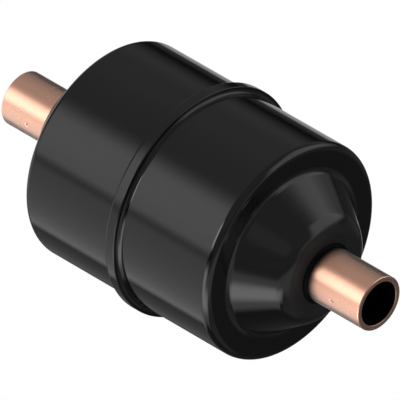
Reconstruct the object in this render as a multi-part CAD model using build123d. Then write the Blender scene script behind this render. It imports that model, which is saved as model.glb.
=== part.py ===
from build123d import *
from math import asin, ceil, cos, degrees, pi, radians, sin, sqrt, tan
import os

# Hermetic filter drier for a refrigerant liquid line. Millimetres.
# The flow axis is X: liquid enters at -X and leaves at +X. The origin is on the
# axis, half way between the two flat end faces. Radii are measured from the X axis.

# ---- Body: two deep-drawn steel shells ----
body_radius = 32.0         # outside of the cylindrical wall, both shells
shell_wall = 1.75          # sheet thickness
face_half_span = 34.8      # mid-plane to each flat end face
rim_radius = 2.2           # bend from the wall to the flat end face, outside
cone_foot_radius = 24.2    # where the cone meets the flat end face
foot_bend = 2.6            # bend at the cone's foot, outside
cone_height = 13.0         # end face to the flat neck
neck_radius = 14.5         # where the cone's line meets the flat neck's, before the bend
neck_bend = 7.0            # large bend from the cone to the neck, outside

# ---- Seam: the inlet shell's mouth is belled over the outlet shell ----
bell_clearance = 0.15      # between the bell's bore and the outlet shell
bell_land = 3.25           # parallel length of the bell, outside
lip_reach = 1.5            # mid-plane to the bell's lip, on the outlet side
lip_edge = 0.3             # rounding of the lip's outer edge
joggle_angle = 62.0        # slope of the step into the bell, from the axis
joggle_bend = 0.8          # bends of that step, outside
mouth_gap = 0.1            # outlet shell's mouth to the step inside the bell
seam_leg = 1.35            # leg of the weld fillet in front of the lip

# ---- Tubes: copper, with a solder socket at the open end ----
socket_radius = 6.4        # sized for a 12.7 mm (1/2 in) pipe
socket_depth = 8.5         # open end to the stop dimples
socket_step = 0.2          # the bore behind the socket is this much smaller in radius
tube_wall = 1.6            # at the socket
tube_reach = 19.8          # flat neck to the open end
tube_inset = 2.0           # tube end that stands inside the shell
tube_edge = 0.3            # rounding of the open end's edges
hole_clearance = 0.1       # brazing gap between the tube and the neck's hole
braze_leg = 0.9            # leg of the brazing fillet round the tube
dimple_count = 2
dimple_radius = 0.9        # ball of the dimpling punch
dimple_depth = 0.5

# ---- Outlet plate: pressed and pierced, carries the mat and the core ----
plate_sheet = 0.8
plate_clearance = 0.2      # plate's rim to the shell's inside bend
plate_flange = 4.6         # flat seat at the rim
ridge_count = 2            # ring-shaped corrugations
ridge_height = 2.4
ridge_flat = 4.0           # flat width of each crest and valley
pierced_radius = 1.1       # holes in the flats
pierced_spacing = 8.5      # between holes, along each ring

# ---- Mat and moulded core ----
mat_thickness = 3.0
mat_clearance = 0.3        # mat's edge to the shell's wall
core_inlet_gap = 4.9       # core's end to the inside of the inlet's flat face
core_foot_height = 6.0     # foot that centres the core in the shell
core_foot_clearance = 0.35
flow_gap = 3.6             # core's body to the shell's wall
core_taper = 0.7           # drop in radius over the core's body, for the mould
core_edge = 1.5            # rounding of the core's inlet end
flute_count = 8
flute_radius = 5.0
flute_depth = 1.8
core_bore_radius = 9.0     # at its open end
core_bore_taper = 1.5      # drop in radius at its blind end
core_end_wall = 14.0       # solid end in front of the blind bore

# ---- Spring and its plate, in the inlet cone ----
spring_plate_sheet = 1.2
spring_plate_rim = 1.6     # brim outside the large coil
spring_boss_clearance = 3.2  # boss to the inside of the large coil
spring_plate_boss_height = 1.2
spring_plate_bend = 0.5
spring_plate_centre_hole = 4.0
spring_plate_hole_count = 6
spring_plate_hole_radius = 2.5
spring_plate_hole_circle = 10.4
spring_wire_radius = 0.9
spring_cone_clearance = 1.9  # large coil to the foot of the cone
spring_tube_clearance = 1.6  # small coil to the tube
spring_turns = 3.0
spring_flat_turns = 0.5     # closed turn at each end
spring_points_per_turn = 8

# ---- Worked out from the sizes above ----
inner_radius = body_radius - shell_wall
neck_x = face_half_span + cone_height
seat_x = face_half_span - shell_wall                    # inside of the flat end face
inner_neck_x = neck_x - shell_wall
cone_slope = (cone_foot_radius - neck_radius) / cone_height
cone_tilt = asin(cone_slope / sqrt(1 + cone_slope ** 2))
cone_shift = shell_wall * (1 - sin(cone_tilt)) / cos(cone_tilt)
tube_radius = socket_radius + tube_wall
bore_radius = socket_radius - socket_step
hole_radius = tube_radius + hole_clearance
tube_end_x = neck_x + tube_reach
bell_radius = body_radius + bell_clearance + shell_wall

plate_radius = inner_radius - (rim_radius - shell_wall) - plate_clearance
plate_crest_x = seat_x - plate_sheet - ridge_height
core_face_x = plate_crest_x - mat_thickness
core_end_x = core_inlet_gap - seat_x

spring_seat_x = core_end_x - spring_plate_sheet
spring_large_radius = cone_foot_radius - cone_shift - spring_cone_clearance - spring_wire_radius
spring_small_radius = tube_radius + spring_tube_clearance + spring_wire_radius
spring_plate_radius = spring_large_radius + spring_wire_radius + spring_plate_rim
spring_boss_radius = spring_large_radius - spring_wire_radius - spring_boss_clearance


def turned(profile):
    """Spin a flat profile, drawn as (x, radius), once round the X axis."""
    return revolve(profile, Axis.X, 360)


def rounded(points, corners):
    """Closed profile through the points, with the listed corners rounded.

    corners holds (point, bend radius) pairs.
    """
    profile = make_face(Polyline(*points, close=True))
    for point, bend in corners:
        corner = profile.vertices().sort_by_distance(Vector(*point))[0]
        profile = fillet(corner, bend)
    return profile


def ring_of_punches(radius, count, punch_radius, x_from, x_to, first_angle=0.0):
    """Straight round punches along X, evenly spaced on a circle."""
    punch = extrude(Plane.YZ.offset(x_from) * Circle(punch_radius), x_to - x_from)
    angles = [first_angle + 360.0 * i / count for i in range(count)]
    return [Rot(X=angle) * Pos(Y=radius) * punch for angle in angles]


# ---- Shells ----

def end_points():
    """Drawn end, outside then inside, for a shell whose cone points to +X."""
    return [
        (face_half_span, body_radius),
        (face_half_span, cone_foot_radius),
        (neck_x, neck_radius),
        (neck_x, hole_radius),
        (inner_neck_x, hole_radius),
        (inner_neck_x, neck_radius - cone_shift),
        (seat_x, cone_foot_radius - cone_shift),
        (seat_x, inner_radius),
    ]


def end_bends():
    """Bends of the drawn end, in the order of end_points."""
    rim, foot, neck, _, _, inner_neck, inner_foot, inner_rim = end_points()
    return [
        (rim, rim_radius),
        (foot, foot_bend),
        (neck, neck_bend),
        (inner_neck, neck_bend - shell_wall),
        (inner_foot, foot_bend + shell_wall),
        (inner_rim, rim_radius - shell_wall),
    ]


def make_outlet_shell():
    """Drawn cup with a plain mouth that slides into the bell."""
    step_run = bell_clearance / tan(radians(joggle_angle))
    step_x = bell_crown_x() + bell_bend_shift() - step_run
    mouth_x = step_x + mouth_gap
    mouth = [(mouth_x, inner_radius), (mouth_x, body_radius)]
    return turned(rounded(end_points() + mouth, end_bends()))


def bell_crown_x():
    """Outer corner where the step reaches the bell's full radius."""
    return lip_reach - bell_land


def bell_bend_shift():
    """Shift along the axis between the outer and inner corners of the step."""
    return shell_wall * tan(radians(joggle_angle / 2))


def make_inlet_shell():
    """The same drawn cup, mirrored, with its mouth belled out by the sheet's thickness."""
    step_run = (bell_radius - body_radius) / tan(radians(joggle_angle))
    crown_x = -bell_crown_x()
    root_x = crown_x + step_run
    shift = bell_bend_shift()
    root_inner = (root_x - shift, inner_radius)
    crown_inner = (crown_x - shift, bell_radius - shell_wall)
    lip_inner = (-lip_reach, bell_radius - shell_wall)
    lip_outer = (-lip_reach, bell_radius)
    crown_outer = (crown_x, bell_radius)
    root_outer = (root_x, body_radius)
    mouth = [root_inner, crown_inner, lip_inner, lip_outer, crown_outer, root_outer]
    bends = [
        (root_inner, joggle_bend + shell_wall / 2),
        (lip_outer, lip_edge),
        (crown_outer, joggle_bend),
        (root_outer, joggle_bend),
    ]
    shell = turned(rounded(end_points() + mouth, end_bends() + bends))
    return mirror(shell, about=Plane.YZ)


# ---- Fillets of filler metal ----

def bead_outline(x, radius, leg):
    """Hollow face of a fillet bead: from the cylinder up to the face at x."""
    sag = leg * (1 - cos(pi / 4))
    return ThreePointArc((x + leg, radius), (x + sag, radius + sag), (x, radius + leg))


def make_seam_weld():
    """Weld fillet in front of the bell's lip."""
    hollow = bead_outline(lip_reach, body_radius, seam_leg)
    corner = Polyline(hollow @ 1, (lip_reach, body_radius), hollow @ 0)
    return turned(make_face([hollow, *corner.edges()]))


def make_braze_ring():
    """Brazing fillet on the flat neck, and the filler drawn into the gap round the tube."""
    hollow = bead_outline(neck_x, tube_radius, braze_leg)
    gap = Polyline(
        hollow @ 1,
        (neck_x, hole_radius),
        (inner_neck_x, hole_radius),
        (inner_neck_x, tube_radius),
        hollow @ 0,
    )
    return turned(make_face([hollow, *gap.edges()]))


# ---- Tubes ----

def make_outlet_tube():
    """Copper tube with a sized socket, rounded edges and stop dimples behind the socket."""
    start_x = inner_neck_x - tube_inset
    floor_x = tube_end_x - socket_depth
    inner_edge = (tube_end_x, socket_radius)
    outer_edge = (tube_end_x, tube_radius)
    points = [
        (start_x, bore_radius),
        (floor_x, bore_radius),
        (floor_x, socket_radius),
        inner_edge,
        outer_edge,
        (start_x, tube_radius),
    ]
    tube = turned(rounded(points, [(inner_edge, tube_edge), (outer_edge, tube_edge)]))
    tube = Rot(X=90) * tube  # the surface's seam line stays clear of the dimples
    outside = Pos(X=floor_x) * Rot(Y=90) * Cylinder(tube_radius, 2 * socket_depth)

    ball_centre = tube_radius + dimple_radius - dimple_depth
    bump_radius = ball_centre - socket_radius + dimple_depth
    bump_half_width = sqrt(bump_radius ** 2 - (ball_centre - socket_radius) ** 2)
    for i in range(dimple_count):
        place = Rot(X=360.0 * i / dimple_count) * Pos(floor_x - bump_half_width, -ball_centre, 0)
        tube = tube + ((place * Sphere(bump_radius)) & outside)
        tube = tube - place * Sphere(dimple_radius)
    return tube


# ---- Outlet plate, mat and core ----

def ridge_rings():
    """Flats of the corrugations from the flange inward, as (x, mid radius)."""
    flange_inner = plate_radius - plate_flange
    half_pitch = flange_inner / (2 * ridge_count)
    rings = []
    for i in range(1, 2 * ridge_count):
        x = seat_x - plate_sheet - ridge_height * (i % 2)
        rings.append((x, flange_inner - i * half_pitch))
    return rings


def make_outlet_plate():
    """Disc with ring-shaped corrugations, pierced in every crest and valley."""
    valley_x = seat_x - plate_sheet
    front = [(valley_x, plate_radius), (valley_x, plate_radius - plate_flange)]
    for x, radius in ridge_rings():
        front.append((x, radius + ridge_flat / 2))
        front.append((x, radius - ridge_flat / 2))
    front.append((front[-1][0], 0))
    back = [(x + plate_sheet, radius) for x, radius in reversed(front)]
    plate = turned(rounded(front + back, []))
    punches = []
    for i, (x, radius) in enumerate(ridge_rings()):
        count = ceil(2 * pi * radius / pierced_spacing)
        turn = 180.0 / count * (i % 2)
        punches += ring_of_punches(radius, count, pierced_radius, x, x + plate_sheet, turn)
    return plate - punches


def make_filter_mat():
    """Round mat that lies on the plate's crests."""
    mat = [
        (core_face_x, 0),
        (plate_crest_x, 0),
        (plate_crest_x, inner_radius - mat_clearance),
        (core_face_x, inner_radius - mat_clearance),
    ]
    return turned(rounded(mat, []))


def make_desiccant_core():
    """Moulded core: centring foot, fluted body with draft, blind tapered bore."""
    foot_radius = inner_radius - core_foot_clearance
    body = inner_radius - flow_gap
    foot_x = core_face_x - core_foot_height
    blind_x = core_end_x + core_end_wall
    tip_radius = core_bore_radius - core_bore_taper
    foot_edge = (core_face_x, foot_radius)
    foot_step = (foot_x, foot_radius)
    body_root = (foot_x - (foot_radius - body), body)
    body_end = (core_end_x, body - core_taper)
    bore_tip = (blind_x, tip_radius)
    points = [
        (core_end_x, 0),
        (blind_x, 0),
        bore_tip,
        (core_face_x, core_bore_radius),
        foot_edge,
        foot_step,
        body_root,
        body_end,
    ]
    bends = [(foot_step, core_edge), (body_root, core_edge), (body_end, core_edge), (bore_tip, core_edge)]
    core = turned(rounded(points, bends))
    flute_circle = body - flute_depth + flute_radius
    flutes = ring_of_punches(flute_circle, flute_count, flute_radius, core_end_x - core_edge, foot_x)
    return core - flutes


# ---- Spring and its plate ----

def make_spring_plate():
    """Top-hat disc: its brim lies on the core, its boss stands inside the large coil."""
    boss = spring_boss_radius
    lift = spring_plate_boss_height
    top = spring_seat_x
    points = [
        (core_end_x, spring_plate_radius),
        (top, spring_plate_radius),
        (top, boss),
        (top - lift, boss),
        (top - lift, spring_plate_centre_hole),
        (core_end_x - lift, spring_plate_centre_hole),
        (core_end_x - lift, boss - spring_plate_sheet),
        (core_end_x, boss - spring_plate_sheet),
    ]
    bends = [(points[2], spring_plate_bend), (points[3], spring_plate_bend)]
    plate = turned(rounded(points, bends))
    holes = ring_of_punches(
        spring_plate_hole_circle,
        spring_plate_hole_count,
        spring_plate_hole_radius,
        top - 2 * lift,
        core_end_x + lift,
    )
    return plate - holes


def spring_point(turn):
    """Wire centre after so many turns from the plate: closed, open, closed again."""
    open_turns = spring_turns - 2 * spring_flat_turns
    travel = min(max((turn - spring_flat_turns) / open_turns, 0.0), 1.0)
    # fifth-degree step from 0 to 1 that starts and ends flat
    eased = travel ** 3 * (10 - 15 * travel + 6 * travel ** 2)
    start_x = spring_seat_x - spring_wire_radius
    end_x = -inner_neck_x + spring_wire_radius
    radius = spring_large_radius + (spring_small_radius - spring_large_radius) * travel
    angle = 2 * pi * turn
    return (start_x + (end_x - start_x) * eased, radius * cos(angle), radius * sin(angle))


def make_core_spring():
    """Conical spring, large coil on the plate, small coil in the neck."""
    steps = round(spring_turns * spring_points_per_turn)
    centre_line = Spline(*[spring_point(spring_turns * i / steps) for i in range(steps + 1)])
    start = Plane(centre_line @ 0, z_dir=centre_line % 0)
    return sweep(start * Circle(spring_wire_radius), path=centre_line)


# ---- Nodes ----

nodes = {
    "inlet_shell": make_inlet_shell(),
    "outlet_shell": make_outlet_shell(),
    "seam_weld": make_seam_weld(),
    "outlet_tube": make_outlet_tube(),
    "outlet_braze_ring": make_braze_ring(),
    "core_spring": make_core_spring(),
    "spring_plate": make_spring_plate(),
    "desiccant_core": make_desiccant_core(),
    "filter_mat": make_filter_mat(),
    "outlet_plate": make_outlet_plate(),
}
nodes["inlet_tube"] = mirror(nodes["outlet_tube"], about=Plane.YZ)
nodes["inlet_braze_ring"] = mirror(nodes["outlet_braze_ring"], about=Plane.YZ)

os.makedirs("parts", exist_ok=True)
for name, solid in nodes.items():
    export_step(solid, f"parts/{name}.step")
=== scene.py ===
# %% [markdown]
# # A filter drier for a refrigerant line
# The real thing is a small steel can. Two deep-drawn cups are welded together round the
# middle, a copper tube is brazed into each end, and the can is painted gloss black. A
# moulded core, a mat, a pierced plate and a spring sit inside, where nobody sees them.
# The construction is already made and packed, so this script only dresses it. It loads
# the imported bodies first, because every new piece is placed by them.

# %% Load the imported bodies
import math
import bpy
import numpy as np
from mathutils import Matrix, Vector


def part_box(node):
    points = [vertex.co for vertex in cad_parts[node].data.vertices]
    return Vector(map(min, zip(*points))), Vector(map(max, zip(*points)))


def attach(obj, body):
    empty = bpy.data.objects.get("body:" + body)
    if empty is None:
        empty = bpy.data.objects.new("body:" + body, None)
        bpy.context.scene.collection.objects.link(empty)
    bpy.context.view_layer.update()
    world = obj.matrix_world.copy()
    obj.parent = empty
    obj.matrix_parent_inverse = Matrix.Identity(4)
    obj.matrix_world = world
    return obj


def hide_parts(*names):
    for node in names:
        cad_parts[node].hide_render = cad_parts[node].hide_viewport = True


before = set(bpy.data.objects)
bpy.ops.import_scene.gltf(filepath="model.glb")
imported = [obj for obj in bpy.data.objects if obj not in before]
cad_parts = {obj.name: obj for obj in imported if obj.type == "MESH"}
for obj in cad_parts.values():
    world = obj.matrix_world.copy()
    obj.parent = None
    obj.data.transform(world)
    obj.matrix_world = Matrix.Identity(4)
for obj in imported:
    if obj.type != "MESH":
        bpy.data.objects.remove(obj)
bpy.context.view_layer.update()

print("packed nodes:", ", ".join(sorted(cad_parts)))

# %% [markdown]
# ## Sizes
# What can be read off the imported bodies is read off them, so that the skin fits whatever
# the construction says. The flow axis is X, so a corner of a node's box gives a radius
# from its Y and a place along the axis from its X. The bends of the pressed steel can't
# be read off a box. They are written here in metres, as the press tools would give them.

# %% Sizes read off the bodies, and bends
MM = 0.001

body_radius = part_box("outlet_shell")[1].y
neck_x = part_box("outlet_shell")[1].x
bell_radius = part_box("inlet_shell")[1].y
lip_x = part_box("inlet_shell")[1].x
sheet = neck_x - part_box("outlet_braze_ring")[0].x
weld_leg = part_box("seam_weld")[1].x - lip_x
tube_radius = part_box("outlet_tube")[1].y
tube_start_x, tube_end_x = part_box("outlet_tube")[0].x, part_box("outlet_tube")[1].x
braze_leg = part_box("outlet_braze_ring")[1].x - neck_x

face_x = 34.8 * MM          # mid-plane to the flat end face
rim_bend = 2.2 * MM         # wall to end face
foot_radius = 24.2 * MM     # where the cone leaves the end face
foot_bend = 2.6 * MM
neck_radius = 14.5 * MM     # where the cone's line meets the flat neck's
neck_bend = 7.0 * MM        # and the large bend that leads from one to the other
bell_land = 3.25 * MM       # parallel part of the belled mouth
lip_bend = 0.3 * MM
step_angle = math.radians(62.0)
step_bend = 0.8 * MM        # step from the wall up to the bell
mouth_gap = 0.1 * MM        # outlet cup's mouth to the step inside the bell
hole_gap = 0.1 * MM         # tube to the hole in the neck

print(f"body {2000 * body_radius:.1f} mm, bell {2000 * bell_radius:.1f} mm, "
      f"overall {2000 * tube_end_x:.1f} mm, sheet {1000 * sheet:.2f} mm")

# %% [markdown]
# ## Camera
# The part is seen along the corner diagonal of its own axes, as in an isometric drawing:
# both tubes then run across the picture at 30 degrees. A very long lens keeps the two
# ends the same size. The picture is square and the body is 239 of its 400 pixels across.

# %% Camera
PIXELS = 400
BODY_PIXELS = 238.8
LENS = 1700.0
SENSOR = 36.0
CLIP_END = 100.0            # metres
RISE_PIXELS = 0.5           # the picture's centre lies this far above the origin
SLIDE_PIXELS = 0.9          # and this far along the axis, because the near end looks larger

pixel = 2 * body_radius / BODY_PIXELS
back = Vector((1, -1, 1)).normalized()      # from the part to the camera
up = Vector((-1, 1, 2)).normalized()        # Z, as the picture shows it
along = Vector((2, 1, -1)).normalized()     # X, as the picture shows it
lens = bpy.data.cameras.new("camera")
lens.lens = LENS
lens.sensor_width = SENSOR
lens.clip_end = CLIP_END
camera = bpy.data.objects.new("camera", lens)
bpy.context.scene.collection.objects.link(camera)
camera.rotation_mode = "QUATERNION"
camera.rotation_quaternion = back.to_track_quat("Z", "Y")
camera.location = back * (PIXELS * pixel * LENS / SENSOR)
camera.location += (up * RISE_PIXELS + along * SLIDE_PIXELS) * pixel
bpy.context.scene.camera = camera
bpy.context.scene.view_settings.view_transform = "Standard"
print(f"camera {camera.location.length:.2f} m away, {1000 * pixel:.3f} mm to a pixel")

# %% [markdown]
# ## Writing shaders as sums
# A finish is a small sum: this much noise, times that mask, plus a base value. A wire
# stands for a socket, and Python's own operators add the Math nodes, so the sum can be
# read as one. Every other kind of node comes from one method of the graph.

# %% A wire and a graph
class Wire:
    """A socket in a graph, which can be added, multiplied and so on."""

    def __init__(self, graph, socket):
        self.graph, self.socket = graph, socket

    def __add__(self, other):
        return self.graph.maths("ADD", self, other)

    def __sub__(self, other):
        return self.graph.maths("SUBTRACT", self, other)

    def __rsub__(self, other):
        return self.graph.maths("SUBTRACT", other, self)

    def __mul__(self, other):
        return self.graph.maths("MULTIPLY", self, other)

    def __pow__(self, other):
        return self.graph.maths("POWER", self, other)

    def __abs__(self):
        return self.graph.maths("ABSOLUTE", self)

    __radd__, __rmul__ = __add__, __mul__


class Graph:
    """The nodes of one material or world."""

    def __init__(self, owner):
        owner.use_nodes = True
        self.tree = owner.node_tree
        self.tree.nodes.clear()

    def add(self, kind, settings, values, output=0):
        """Adds a node: its settings first, then numbers or wires for its sockets. Gives one
        of its outputs, or none for an output node."""
        node = self.tree.nodes.new(kind)
        for name, value in settings.items():
            setattr(node, name, value)
        for name, value in values.items():
            if isinstance(value, Wire):
                self.tree.links.new(value.socket, node.inputs[name])
            else:
                node.inputs[name].default_value = value
        return None if output is None else Wire(self, node.outputs[output])

    def maths(self, operation, *values):
        """Adds a Math node, for up to three numbers or wires."""
        return self.add("ShaderNodeMath", {"operation": operation}, dict(enumerate(values)))

    def step(self, value, low, high):
        """0 below low, 1 above high and a smooth S between. It falls where low is the larger."""
        ends = {"Value": value, "From Min": low, "From Max": high}
        return self.add("ShaderNodeMapRange", {"interpolation_type": "SMOOTHSTEP"}, ends)

    def blend(self, mask, first, second):
        """Mixes two colours: a Mix node keeps them in its sockets 6 and 7, and gives them in 2."""
        colours = {0: mask, 6: first, 7: second}
        return self.add("ShaderNodeMix", {"data_type": "RGBA"}, colours, 2)

    def noise(self, place, per_metre, detail=2.0, stretch=(1, 1, 1)):
        """Cloudy noise from 0 to 1, so many cells to a metre, drawn out along an axis by stretch."""
        scaled = self.add("ShaderNodeMapping", {}, {"Vector": place, "Scale": stretch})
        values = {"Vector": scaled, "Scale": per_metre, "Detail": detail}
        return self.add("ShaderNodeTexNoise", {}, values)

    def parts(self, vector):
        """The three numbers of a vector."""
        split = self.add("ShaderNodeSeparateXYZ", {}, {0: vector}).socket.node
        return [Wire(self, socket) for socket in split.outputs]

    def bump(self, height, distance):
        """A normal from a height, given as a share of a distance in metres."""
        return self.add("ShaderNodeBump", {}, {"Height": height, "Distance": distance, "Strength": 1.0})

    def finish(self, kind, shader):
        """Links a shader to the output."""
        self.add(kind, {}, {"Surface": shader}, None)


print("shader helpers ready")

# %% [markdown]
# ## Studio
# Gloss black paint has almost no colour of its own, so what is seen of it is what it
# mirrors. The light is therefore drawn as a room, by direction: a grey ceiling that fades
# to black at the horizon, a dark floor, and soft panels that stand for windows, lamps,
# tables and walls. Each panel is a patch of azimuth and elevation with soft edges, and
# panels that overlap add up. Azimuth is 0 towards -Y and 90 towards +X. What the camera
# and dull surfaces see of the room is plain white at strength 1, so that colours come
# out as they are written, and only a glossy ray sees the panels.

# %% Panels of the room
# azimuth from, to, soft edge; elevation from, soft edge, to, soft edge; strength
PANELS = {
    "window at the left": (-58, -18, 22, 4, 10, 44, 20, 1.5),
    "lamp beside the window": (-24, -2, 12, 13, 8, 37, 10, 5.0),
    "window sill": (-60, -25, 14, -3, 8, 6, 8, 0.25),
    "white table in front": (-70, 22, 12, -60, 12, -1, 12, 0.87),
    "middle of the table": (22, 50, 12, -62, 14, -12, 12, 0.87),
    "right end of the table": (50, 103, 16, -36, 14, -9, 10, 0.65),
    "lamp over the table": (-18, 16, 24, -46, 18, -6, 12, 2.4),
    "middle of that lamp": (16, 36, 12, -47, 14, -26, 14, 2.2),
    "right end of that lamp": (36, 62, 14, -47, 14, -29, 12, 1.8),
    "window behind": (110, 168, 14, 5, 14, 50, 18, 1.02),
    "left end of its sill": (91, 120, 14, -4, 10, 12, 8, 0.3),
    "right end of its sill": (120, 144, 12, -8, 8, 4, 8, 0.12),
    "edge of that window": (166, 184, 14, 2, 10, 22, 12, 0.3),
    "skylight": (38, 57, 10, 25, 8, 42, 8, 0.13),
    "grey wall at the right": (28, 108, 14, -10, 10, 12, 16, 0.2),
    "pale wall at the left": (-126, -62, 16, -32, 12, 5, 12, 0.5),
    "pale floor behind": (-152, -95, 12, -37, 3, -14.5, 5, 0.42),
    "grey floor behind": (118, 183, 14, -27, 10, 4, 12, 0.09),
    "floor at the right": (62, 126, 16, -66, 12, -36, 10, 0.17),
    "dim floor at the left": (-126, -60, 20, -62, 10, -36, 6, 0.12),
    "ceiling by the window": (-145, -45, 30, 40, 20, 75, 20, 0.1),
}
CEILING = 0.27
HORIZON = 0.01
FLOOR_GREY = 0.06
CEILING_FADE = (0.0, 25.0)  # elevations between which the horizon turns into the ceiling
FLOOR_FADE = (-7.0, -1.0)   # and the floor into the horizon


def between(graph, value, low, low_soft, high, high_soft):
    """1 from low to high, and 0 outside, with a soft edge at each."""
    rise = graph.step(value, low - low_soft / 2, low + low_soft / 2)
    return rise * graph.step(value, high + high_soft / 2, high - high_soft / 2)


def room_light(graph):
    """What a glossy ray meets, by its direction.

    A panel takes the azimuth as the distance from its own middle, wrapped to 180 degrees
    each way, so that it may lie across the back of the room, where the azimuth jumps.
    """
    direction = graph.add("ShaderNodeTexCoord", {}, {}, "Generated")
    x, y, z = graph.parts(direction)
    azimuth = graph.maths("DEGREES", graph.maths("ARCTAN2", x, y * -1.0))
    elevation = graph.maths("DEGREES", graph.maths("ARCSINE", z))
    light = (FLOOR_GREY + graph.step(elevation, *FLOOR_FADE) * (HORIZON - FLOOR_GREY)
             + graph.step(elevation, *CEILING_FADE) * (CEILING - HORIZON))
    for start, end, soft, low, low_soft, high, high_soft, strength in PANELS.values():
        half = (end - start) / 2
        off_middle = graph.maths("WRAP", azimuth - (start + half), 180.0, -180.0)
        across = between(graph, off_middle, -half, soft, half, soft)
        light = light + across * between(graph, elevation, low, low_soft, high, high_soft) * strength
    return light


world = bpy.data.worlds.new("studio")
bpy.context.scene.world = world
world.cycles.sampling_method = "NONE"    # keeps what each kind of ray sees apart
room = Graph(world)
path = room.add("ShaderNodeLightPath", {}, {}, "Is Glossy Ray")
seen = 1 - path + path * room_light(room)
backdrop = room.add("ShaderNodeBackground", {}, {"Color": (1, 1, 1, 1), "Strength": seen})
room.finish("ShaderNodeOutputWorld", backdrop)
print(len(PANELS), "soft panels in the room")

# %% [markdown]
# ## Floor
# The part is held by its tubes in a pipe run, so it hangs above a plain white floor, far
# enough for its soft shadow to fall outside the picture. The floor is seen from above
# only: from below it lets the view through.

# %% Floor
FLOOR_DROP = 0.5
FLOOR_HALF = 60.0


def floor_white():
    """Matt white, clear from underneath."""
    material = bpy.data.materials.new("floor_white")
    graph = Graph(material)
    under = graph.add("ShaderNodeNewGeometry", {}, {}, "Backfacing")
    white = graph.add("ShaderNodeBsdfDiffuse", {}, {"Color": (1, 1, 1, 1)})
    clear = graph.add("ShaderNodeBsdfTransparent", {}, {})
    shader = graph.add("ShaderNodeMixShader", {}, {0: under, 1: white, 2: clear})
    graph.finish("ShaderNodeOutputMaterial", shader)
    return material


sides = np.array([(-1, -1, 0), (1, -1, 0), (1, 1, 0), (-1, 1, 0)])
floor_mesh = bpy.data.meshes.new("floor")
floor_mesh.from_pydata((sides * FLOOR_HALF - (0, 0, FLOOR_DROP)).tolist(), [], [(0, 1, 2, 3)])
floor_mesh.materials.append(floor_white())
floor = bpy.data.objects.new("floor", floor_mesh)
bpy.context.scene.collection.objects.link(floor)
floor.visible_glossy = False
print(f"floor {FLOOR_DROP} m below the axis")

# %% [markdown]
# ## Outlines with bends
# Every outer piece is turned or drawn, so its shape is an outline carried once round the
# axis. Sheet steel has no sharp corners: each corner of the outline is an arc that
# touches both of its sides. The outline runs clockwise in (x, radius), so that the open
# air lies on its left, and each point keeps the direction of the surface before it and
# after it. A corner without a bend keeps both, and stays crisp.

# %% Outline
ARC_STEP = math.radians(5.0)
SAME_PLACE = 1e-8           # metres


def left_of(direction):
    """The direction a quarter turn to the left, for (x, radius) rows."""
    return np.stack([-direction[..., 1], direction[..., 0]], -1)


def outline(corners):
    """Closed outline through corners (x, radius, bend): its points, and the surface's
    direction as each point is reached and left.

    At a corner the heading turns by an angle. The arc starts bend * tan(angle / 2)
    before the corner, its centre lies a bend to the inside, and a point on it is the
    centre less a bend along the left of the heading there. Where an arc ends in the next
    corner, the two points become one.
    """
    corners = np.array(corners, float)
    place, bend = corners[:, :2], corners[:, 2]
    ahead = np.roll(place, -1, 0) - place
    ahead /= np.linalg.norm(ahead, axis=1, keepdims=True)
    behind = np.roll(ahead, 1, 0)
    turn = np.arctan2(behind[:, 0] * ahead[:, 1] - behind[:, 1] * ahead[:, 0], (behind * ahead).sum(1))
    points, reached, left = [], [], []
    for corner, radius, angle, first, last in zip(place, bend, turn, behind, ahead):
        if radius == 0:
            points.append([corner])
            reached.append(left_of(first[None]))
            left.append(left_of(last[None]))
            continue
        share = np.linspace(0, 1, 1 + math.ceil(abs(angle) / ARC_STEP)) * angle
        heading = np.stack([first[0] * np.cos(share) - first[1] * np.sin(share),
                            first[0] * np.sin(share) + first[1] * np.cos(share)], -1)
        inward = left_of(heading) * radius * np.sign(angle)
        start = corner - first * radius * math.tan(abs(angle) / 2)
        points.append(start + inward[0] - inward)
        reached.append(left_of(heading))
        left.append(left_of(heading))
    points, reached, left = [np.concatenate(rows) for rows in (points, reached, left)]
    fresh = np.linalg.norm(points - np.roll(points, 1, 0), axis=1) > SAME_PLACE
    left[np.flatnonzero(~fresh) - 1] = left[~fresh]
    return points[fresh], reached[fresh], left[fresh]


def mirrored(corners):
    """The same outline, for the other end of the part."""
    return [(-x, radius, bend) for x, radius, bend in reversed(corners)]


print("outlines take corners as (x, radius, bend)")

# %% [markdown]
# ## Turning an outline into a skin
# The grid has one row for each angle round the axis and one column for each point of the
# outline, and both close on themselves, so the skin is watertight. A gloss surface shows
# every error of shading, so the exact direction of the surface goes with each corner of
# each face, instead of an average over its neighbours.

# %% Turned skin
TURNS = 360


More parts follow.
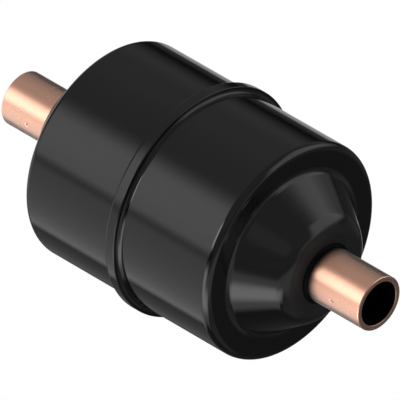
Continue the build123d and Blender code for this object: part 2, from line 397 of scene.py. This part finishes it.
def turned_skin(name, corners, angles=None, height=None):
    """A closed outline carried round the X axis: (x, r cos a, r sin a).

    The angles are even where none are given. height(x, r, a) may raise or sink the
    surface along the radius. It gives the height and its slope along x and round the
    axis, and the surface's direction leans by them.
    """
    points, reached, left = outline(corners)
    angles = np.linspace(0, 2 * np.pi, TURNS, endpoint=False) if angles is None else angles
    x, r, a = np.broadcast_arrays(*points.T[:, None], angles[:, None])
    rise, along, round_axis = height(x, r, a) if height else (0, 0, 0)
    ring = [x, (r + rise) * np.cos(a), (r + rise) * np.sin(a)]

    def facing(direction):
        """The outline's direction, less its radial part times each slope, turned by a."""
        nx, nr = (part[None] for part in direction.T)
        lean, swing = nx - nr * along, -nr * round_axis
        normal = [lean + 0 * a, nr * np.cos(a) - swing * np.sin(a), nr * np.sin(a) + swing * np.cos(a)]
        normal = np.stack(normal, -1)
        return normal / np.linalg.norm(normal, axis=-1, keepdims=True)

    rows, columns = a.shape
    here = np.arange(rows * columns).reshape(rows, columns)
    up_row, next_column = np.roll(here, -1, 0), np.roll(here, -1, 1)
    faces = np.stack([here, up_row, np.roll(up_row, -1, 1), next_column], -1)
    leaving, reaching = facing(left), np.roll(facing(reached), -1, 1)
    normals = np.stack([leaving, np.roll(leaving, -1, 0), np.roll(reaching, -1, 0), reaching], 2)

    mesh = bpy.data.meshes.new(name)
    mesh.vertices.add(rows * columns)
    mesh.vertices.foreach_set("co", np.stack(ring, -1).astype(np.float32).ravel())
    mesh.loops.add(faces.size)
    mesh.loops.foreach_set("vertex_index", faces.astype(np.int32).ravel())
    mesh.polygons.add(rows * columns)
    mesh.polygons.foreach_set("loop_start", np.arange(0, faces.size, 4, dtype=np.int32))
    mesh.update(calc_edges=True)
    mesh.polygons.foreach_set("use_smooth", np.ones(rows * columns, bool))
    mesh.normals_split_custom_set(normals.reshape(-1, 3))
    piece = bpy.data.objects.new(name, mesh)
    bpy.context.scene.collection.objects.link(piece)
    print(f"{name}: {2 * rows * columns} triangles")
    return piece


def dress(piece, node, material):
    """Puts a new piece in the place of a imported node."""
    piece.data.materials.append(material)
    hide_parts(node)
    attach(piece, "root")


# %% [markdown]
# ## Gloss black paint
# The can is sprayed with a thin black enamel. Seen close it isn't a perfect mirror: it
# dries with a very fine orange peel and is a little duller in places. The peel is a bump
# a few thousandths of a millimetre high, and slow noise moves the roughness. Round the
# foot of a tube the spray lands dry, so the gloss fades there with the distance from the
# axis. On the brazing and on the tube's own foot it is only dust, with hardly any gloss.

# %% Black paint
PAINT_BLACK = (0.0030, 0.0030, 0.0031, 1)
PAINT_GREY = (0.0042, 0.0042, 0.0043, 1)
PAINT_ROUGHNESS = 0.04
CLOUD_ROUGHNESS = 0.03      # that the slow noise adds
CLOUDS_PER_METRE = 45.0
PEEL_PER_METRE = 900.0
PEEL_HEIGHT = 0.004 * MM
DRY_START = 11.0 * MM       # from the axis: all of the paint is dry spray
DRY_END = 15.0 * MM         # from the axis: none of it is
DRY_ROUGHNESS = 0.6         # that dry spray adds


def black_paint():
    """Black enamel: glossy on the can, dull where it was sprayed dry round the tubes."""
    material = bpy.data.materials.new("black_paint")
    graph = Graph(material)
    place = graph.add("ShaderNodeTexCoord", {}, {}, "Object")
    x, y, z = graph.parts(place)
    clouds = graph.noise(place, CLOUDS_PER_METRE, detail=3.0)
    peel = graph.noise(place, PEEL_PER_METRE, detail=1.0)
    from_axis = (y * y + z * z) ** 0.5
    dry = graph.step(from_axis, DRY_END, DRY_START) * graph.step(abs(x), face_x, neck_x)
    gloss = graph.add("ShaderNodeBsdfPrincipled", {}, {
        "Base Color": graph.blend(clouds, PAINT_BLACK, PAINT_GREY),
        "Roughness": PAINT_ROUGHNESS + clouds * CLOUD_ROUGHNESS + dry * DRY_ROUGHNESS,
        "IOR": 1.45,
        "Normal": graph.bump(peel, PEEL_HEIGHT),
    })
    graph.finish("ShaderNodeOutputMaterial", gloss)
    return material


paint = black_paint()
print("made", paint.name)

# %% Spray dust
SPRAY_DUST = (0.0012, 0.0011, 0.0010, 1)
DUST_ROUGHNESS = 0.5
MATT_ROUGHNESS = 0.2        # that the slow noise adds to a matt surface
PATCHES_PER_METRE = 120.0   # slow noise of the dust, and of the copper under it


def spray_dust(graph, patches):
    """Paint that landed as dust: its low index leaves it hardly any gloss."""
    return graph.add("ShaderNodeBsdfPrincipled", {}, {
        "Base Color": SPRAY_DUST,
        "Roughness": DUST_ROUGHNESS + patches * MATT_ROUGHNESS,
        "IOR": 1.15,
    })


def dull_paint():
    """The brazing, all of it under that dust."""
    material = bpy.data.materials.new("dull_paint")
    graph = Graph(material)
    place = graph.add("ShaderNodeTexCoord", {}, {}, "Object")
    patches = graph.noise(place, PATCHES_PER_METRE, detail=3.0)
    graph.finish("ShaderNodeOutputMaterial", spray_dust(graph, patches))
    return material


dust_coat = dull_paint()
print("made", dust_coat.name)

# %% [markdown]
# ## The two cups
# Each cup is one sheet of steel, drawn to a flat end face with a cone in its middle. The
# cone runs in one large bend into the small flat neck that the tube goes through, so no
# edge shows there. Outside and inside are one outline a sheet apart, so the skin is a
# real wall. The inlet cup's mouth is belled out by the sheet's thickness and slides over
# the plain mouth of the outlet cup.

# %% End of a cup
cone_slope = (foot_radius - neck_radius) / (neck_x - face_x)
cone_shift = sheet * (math.sqrt(1 + cone_slope ** 2) - cone_slope)
inner_radius = body_radius - sheet
hole_radius = tube_radius + hole_gap
step_shift = sheet * math.tan(step_angle / 2)


def cup_end():
    """The drawn end towards +X, outside and then inside."""
    return [
        (face_x, body_radius, rim_bend),
        (face_x, foot_radius, foot_bend),
        (neck_x, neck_radius, neck_bend),
        (neck_x, hole_radius, 0),
        (neck_x - sheet, hole_radius, 0),
        (neck_x - sheet, neck_radius - cone_shift, neck_bend - sheet),
        (face_x - sheet, foot_radius - cone_shift, foot_bend + sheet),
        (face_x - sheet, inner_radius, rim_bend - sheet),
    ]


print(f"the cone slopes at {math.degrees(math.atan(1 / cone_slope)):.0f} degrees to the end face")

# %% Outlet cup
WALL_STOPS = 6              # rings along the wall keep the faces from being slivers
step_run = (bell_radius - sheet - body_radius) / math.tan(step_angle)
mouth_x = lip_x - bell_land + step_shift - step_run + mouth_gap
wall_stops = np.linspace(mouth_x, face_x - rim_bend, WALL_STOPS + 2)[1:-1]
outlet_cup = cup_end() + [(mouth_x, inner_radius, 0), (mouth_x, body_radius, 0)]
outlet_cup += [(x, body_radius, 0) for x in wall_stops]
outlet_skin = turned_skin("outlet_cup", outlet_cup)
dress(outlet_skin, "outlet_shell", paint)

# %% Inlet cup with its bell
crown_x = bell_land - lip_x
root_x = crown_x + (bell_radius - body_radius) / math.tan(step_angle)
wall_stops = np.linspace(root_x + step_bend, face_x - rim_bend, WALL_STOPS + 2)[1:-1]
inlet_cup = cup_end() + [
    (root_x - step_shift, inner_radius, step_bend + sheet / 2),
    (crown_x - step_shift, bell_radius - sheet, 0),
    (-lip_x, bell_radius - sheet, 0),
    (-lip_x, bell_radius, lip_bend),
    (crown_x, bell_radius, step_bend),
    (root_x, body_radius, step_bend),
]
inlet_cup += [(x, body_radius, 0) for x in wall_stops]
inlet_skin = turned_skin("inlet_cup", mirrored(inlet_cup))
dress(inlet_skin, "inlet_shell", paint)

# %% [markdown]
# ## Weld and brazing
# The weld that closes the can, and the brazing round each tube, are small hollow fillets
# under the paint. A fillet is the corner between a face and a cylinder, filled by an arc
# that touches both, so its bend is as long as its legs and it needs no new formula.

# %% Fillets of filler metal
def hollow(x, radius, leg):
    """Outside of a fillet, from the face at x down to the cylinder."""
    return [(x, radius + leg, 0), (x, radius, leg), (x + leg, radius, 0)]


weld = hollow(lip_x, body_radius, weld_leg) + [(lip_x, body_radius, 0)]
dress(turned_skin("weld_bead", weld), "seam_weld", paint)

brazing = hollow(neck_x, tube_radius, braze_leg) + [
    (neck_x - sheet, tube_radius, 0),
    (neck_x - sheet, hole_radius, 0),
    (neck_x, hole_radius, 0),
]
dress(turned_skin("outlet_brazing", brazing), "outlet_braze_ring", dust_coat)
dress(turned_skin("inlet_brazing", mirrored(brazing)), "inlet_braze_ring", dust_coat)

# %% [markdown]
# ## Copper
# The tubes are drawn, so very fine lines run along them, and the bright metal is a touch
# duller from place to place. A painted sheen lies over it: a second, paler metal, so that
# looked at squarely the copper shows, and at a glancing angle the paler metal takes over
# and the tube turns pale. So the two are mixed by the square of the slant. The can is
# sprayed after brazing, with the open ends masked, so black dust fades out over the first
# few millimetres of each tube. The bore is given painted shade: near-black and nearly
# glossless, as it lies in shade. Dust and painted shade follow the place, along the
# axis and away from it.

# %% Copper finish
COPPER_BRIGHT = (1.0, 0.55, 0.385, 1)
COPPER_DULL = (0.94, 0.50, 0.35, 1)
DULL_PATCHES = 0.6          # shares of the slow noise and of the lines in the dull colour
DULL_LINES = 0.3
COPPER_ROUGHNESS = 0.25
SHEEN_PALE = (0.60, 0.585, 0.57, 1)
SHEEN_EDGE_TINT = (0.1, 0.1, 0.1, 1)      # tint of the painted sheen where it is seen edge on
SHEEN_ROUGHNESS = 0.42
PATCH_ROUGHNESS = 0.06      # that the slow noise adds to the copper and to the painted sheen
LINES_PER_METRE = 2500.0
LINES_DRAWN_OUT = (0.02, 1, 1)
LINES_HEIGHT = 0.006 * MM
# Painted shade: the bore is made near-black and nearly glossless, as it lies in shade.
BORE_PAINTED_SHADE = (0.0006, 0.0005, 0.0005, 1)
BORE_ROUGHNESS = 0.55
SOCKET_RADIUS = 6.4 * MM
BORE_SHADE_EDGE = 0.25 * MM       # outside the socket's radius: the painted shade ends and the copper shows again
PAINT_SOLID = 1.0 * MM      # from the neck: the paint still covers everything
PAINT_GONE = 2.9 * MM       # from the neck: bare copper
PAINT_SPECKLE = 0.5 * MM    # by which the paint's edge wanders
SPECKLES_PER_METRE = 1500.0


def copper():
    """Drawn copper with a painted sheen at glancing angles, black where the can's paint ran on to it, and
    painted shade in the bore.
    """
    material = bpy.data.materials.new("copper")
    graph = Graph(material)
    place = graph.add("ShaderNodeTexCoord", {}, {}, "Object")
    x, y, z = graph.parts(place)
    lines = graph.noise(place, LINES_PER_METRE, detail=1.0, stretch=LINES_DRAWN_OUT)
    patches = graph.noise(place, PATCHES_PER_METRE, detail=3.0)
    metal = graph.add("ShaderNodeBsdfPrincipled", {}, {
        "Base Color": graph.blend(patches * DULL_PATCHES + lines * DULL_LINES, COPPER_BRIGHT, COPPER_DULL),
        "Metallic": 1.0,
        "Roughness": COPPER_ROUGHNESS + patches * PATCH_ROUGHNESS,
        "Normal": graph.bump(lines, LINES_HEIGHT),
    })
    # Painted sheen: a paler metal that shows at glancing angles and turns the tube's edges pale.
    pale_sheen = graph.add("ShaderNodeBsdfPrincipled", {}, {
        "Base Color": SHEEN_PALE,
        "Specular Tint": SHEEN_EDGE_TINT,
        "Metallic": 1.0,
        "Roughness": SHEEN_ROUGHNESS + patches * PATCH_ROUGHNESS,
    })
    # The painted sheen is mixed in by the square of the slant, so it grows towards the edges.
    slant = graph.add("ShaderNodeLayerWeight", {}, {"Blend": 0.5}, "Facing")
    copper_and_sheen = graph.add("ShaderNodeMixShader", {}, {0: slant * slant, 1: metal, 2: pale_sheen})
    # Painted shade for the bore, which lies in shade.
    bore = graph.add("ShaderNodeBsdfPrincipled", {}, {
        "Base Color": BORE_PAINTED_SHADE,
        "Roughness": BORE_ROUGHNESS + patches * MATT_ROUGHNESS,
        "IOR": 1.1,
    })
    from_axis = (y * y + z * z) ** 0.5
    # Where the bore's painted shade is used: inside the socket's radius.
    inside = graph.step(from_axis, SOCKET_RADIUS + BORE_SHADE_EDGE, SOCKET_RADIUS)
    speckle = (graph.noise(place, SPECKLES_PER_METRE) - 0.5) * PAINT_SPECKLE
    sprayed = graph.step(abs(x) + speckle, neck_x + PAINT_GONE, neck_x + PAINT_SOLID)
    dust = spray_dust(graph, patches)
    outside = graph.add("ShaderNodeMixShader", {}, {0: sprayed, 1: copper_and_sheen, 2: dust})
    shader = graph.add("ShaderNodeMixShader", {}, {0: inside, 1: outside, 2: bore})
    graph.finish("ShaderNodeOutputMaterial", shader)
    return material


tube_copper = copper()
print("made", tube_copper.name)

# %% [markdown]
# ## Tubes
# The open end of a tube is sized as a socket for the pipe that is soldered into it. Two
# small dimples, pressed in from outside, stop the pipe at the socket's floor. A dimple is
# half a cosine wave round its centre: deepest in the middle, level at its edge. The grid
# is finer where a dimple is, because only there does the surface do anything quickly.

# %% Dimples
SOCKET_DEPTH = 8.5 * MM
BORE_RADIUS = 6.2 * MM
TUBE_EDGE = 0.3 * MM
DIMPLE_FROM_FLOOR = 1.5 * MM
DIMPLE_ANGLES = (0.0, math.pi)
PIT_SIZE = 0.75 * MM        # radius of the pit outside
KNOB_SIZE = 1.5 * MM        # radius of the knob that it makes inside
DIMPLE_DEPTH = 0.6 * MM
FINE = 0.1 * MM             # between the rings and the angles at a dimple
COARSE_TURNS = 180          # angles in the rest of a turn

dimple_x = tube_end_x - SOCKET_DEPTH - DIMPLE_FROM_FLOOR
fine_stops = np.arange(-KNOB_SIZE, KNOB_SIZE + FINE / 2, FINE)


print(f"dimples {1000 * dimple_x:.1f} mm from the mid-plane")


def dimpled(centre_x):
    """The height that turned_skin asks for, with s the distance from a dimple's centre as a
    share of its size: minus half the depth times (1 + cos(pi s)). Its slope, half the depth
    times pi / size times sin(pi s), is shared out along the axis and across it.
    """
    def height(x, r, a):
        size = np.where(r > (tube_radius + BORE_RADIUS) / 2, PIT_SIZE, KNOB_SIZE)
        total = np.zeros((3,) + x.shape)
        for middle in DIMPLE_ANGLES:
            across = r * ((a - middle + np.pi) % (2 * np.pi) - np.pi)
            along = x - centre_x
            s = np.minimum(np.hypot(along, across) / size, 1)
            slope = DIMPLE_DEPTH / 2 * (np.pi / size) ** 2 * np.sinc(s)
            total += [-DIMPLE_DEPTH / 2 * (1 + np.cos(np.pi * s)), slope * along, slope * across]
        return total
    return height


# %% Both tubes
def tube_corners():
    """Outlet tube: plain outside, socket, and the slightly smaller bore behind it."""
    floor_x = tube_end_x - SOCKET_DEPTH
    fine_x = dimple_x + fine_stops
    outer = [(x, tube_radius, 0) for x in fine_x]
    inner = [(x, BORE_RADIUS, 0) for x in fine_x[::-1] if x < floor_x - FINE / 2]
    return [
        (tube_start_x, tube_radius, 0),
        *outer,
        (tube_end_x, tube_radius, TUBE_EDGE),
        (tube_end_x, SOCKET_RADIUS, TUBE_EDGE),
        (floor_x, SOCKET_RADIUS, 0),
        (floor_x, BORE_RADIUS, 0),
        *inner,
        (tube_start_x, BORE_RADIUS, 0),
    ]


coarse = np.linspace(0, 2 * np.pi, COARSE_TURNS, endpoint=False)
fine = [middle + fine_stops / tube_radius for middle in DIMPLE_ANGLES]
tube_angles = np.unique(np.round(np.concatenate([coarse, *fine]) % (2 * np.pi), 4))
outlet = turned_skin("outlet_pipe", tube_corners(), tube_angles, dimpled(dimple_x))
inlet = turned_skin("inlet_pipe", mirrored(tube_corners()), tube_angles, dimpled(-dimple_x))
dress(outlet, "outlet_tube", tube_copper)
dress(inlet, "inlet_tube", tube_copper)

# %% [markdown]
# ## What sits inside
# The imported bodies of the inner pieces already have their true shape, so they only need
# their finishes: a porous moulded core, a needled mat, zinc-plated pressings and a spring
# of bright wire.

# %% Inner finishes
GRAIN_ROUGHNESS = 0.15      # that the grain adds


def coated(name, first, second, per_metre, roughness, depth, stretch=(1, 1, 1), metallic=0.0):
    """Two colours mixed by noise, with the same noise in the roughness and as a bump."""
    material = bpy.data.materials.new(name)
    graph = Graph(material)
    place = graph.add("ShaderNodeTexCoord", {}, {}, "Object")
    grain = graph.noise(place, per_metre, 4.0, stretch)
    coat = graph.add("ShaderNodeBsdfPrincipled", {}, {
        "Base Color": graph.blend(grain, first, second),
        "Metallic": metallic,
        "Roughness": roughness + grain * GRAIN_ROUGHNESS,
        "Normal": graph.bump(grain, depth),
    })
    graph.finish("ShaderNodeOutputMaterial", coat)
    return material


finishes = {
    "desiccant_core": coated("moulded_desiccant", (0.78, 0.72, 0.60, 1), (0.60, 0.53, 0.43, 1),
                             1800.0, 0.8, 0.0002),
    "filter_mat": coated("polyester_mat", (0.88, 0.88, 0.85, 1), (0.70, 0.71, 0.68, 1),
                         2600.0, 0.8, 0.0003, (0.3, 1, 1)),
    "outlet_plate": coated("zinc_plate", (0.72, 0.72, 0.70, 1), (0.55, 0.56, 0.57, 1),
                           300.0, 0.28, 0.00001, metallic=1.0),
    "core_spring": coated("spring_steel", (0.52, 0.52, 0.53, 1), (0.38, 0.38, 0.39, 1),
                          900.0, 0.22, 0.00001, metallic=1.0),
}
finishes["spring_plate"] = finishes["outlet_plate"]
for node, material in finishes.items():
    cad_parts[node].data.materials.clear()
    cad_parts[node].data.materials.append(material)
print("finished inside:", ", ".join(finishes))
